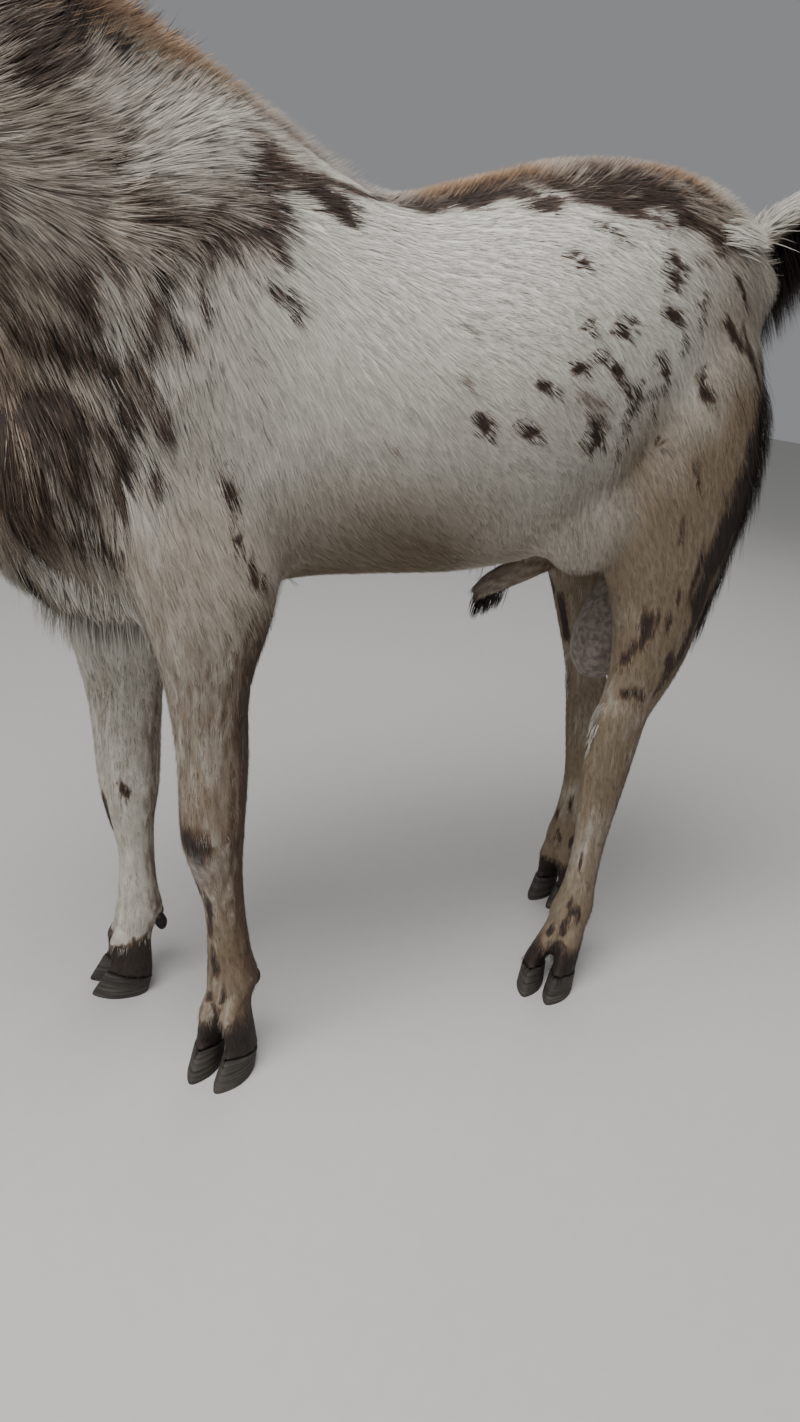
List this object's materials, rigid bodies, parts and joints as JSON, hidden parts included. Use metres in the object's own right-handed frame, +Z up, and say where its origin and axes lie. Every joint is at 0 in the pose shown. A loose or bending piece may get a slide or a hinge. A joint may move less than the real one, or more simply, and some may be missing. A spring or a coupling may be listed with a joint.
{
  "type": "makhi cheeni goat, still life-size model",
  "caption": "Still, life-size model of a spotted cream-white buck goat, standing on its four feet with the tail raised; long ears, twisted horns and a beard.",
  "frame": {"origin": "centre of the box around the model, at floor level under the feet", "axes": "+Z up; the goat faces -X, its left side is -Y and its right side is +Y"},
  "size_m": [1.2158, 0.4582, 1.2781],
  "materials": {
    "coat": "short cream-white hair with chocolate spots",
    "neck_coat": "longer mottled brown, black and cream hair",
    "long_hair": "long dark hair with white strands",
    "bare_skin": "bare matt skin with thin hair",
    "hoof_horn": "grey horn, dull",
    "horn": "dark ringed horn",
    "eye": "wet amber eye with a bar pupil"
  },
  "bodies": {
    "root": {"torso": "coat", "neck": "neck_coat", "head": "coat", "ear_left": "coat", "eye_left": "eye", "horn_left": "horn", "foreleg_left": "coat", "thigh_left": "coat", "hind_leg_left": "coat", "claw_fore_left_a": "hoof_horn", "dewclaw_fore_left_a": "hoof_horn", "claw_fore_left_b": "hoof_horn", "dewclaw_fore_left_b": "hoof_horn", "claw_hind_left_a": "hoof_horn", "dewclaw_hind_left_a": "hoof_horn", "claw_hind_left_b": "hoof_horn", "dewclaw_hind_left_b": "hoof_horn", "ear_right": "coat", "eye_right": "eye", "horn_right": "horn", "foreleg_right": "coat", "thigh_right": "coat", "hind_leg_right": "coat", "claw_fore_right_a": "hoof_horn", "dewclaw_fore_right_a": "hoof_horn", "claw_fore_right_b": "hoof_horn", "dewclaw_fore_right_b": "hoof_horn", "claw_hind_right_a": "hoof_horn", "dewclaw_hind_right_a": "hoof_horn", "claw_hind_right_b": "hoof_horn", "dewclaw_hind_right_b": "hoof_horn", "tail": "long_hair", "scrotum": "bare_skin", "sheath": "bare_skin"}
  },
  "joints": []
}
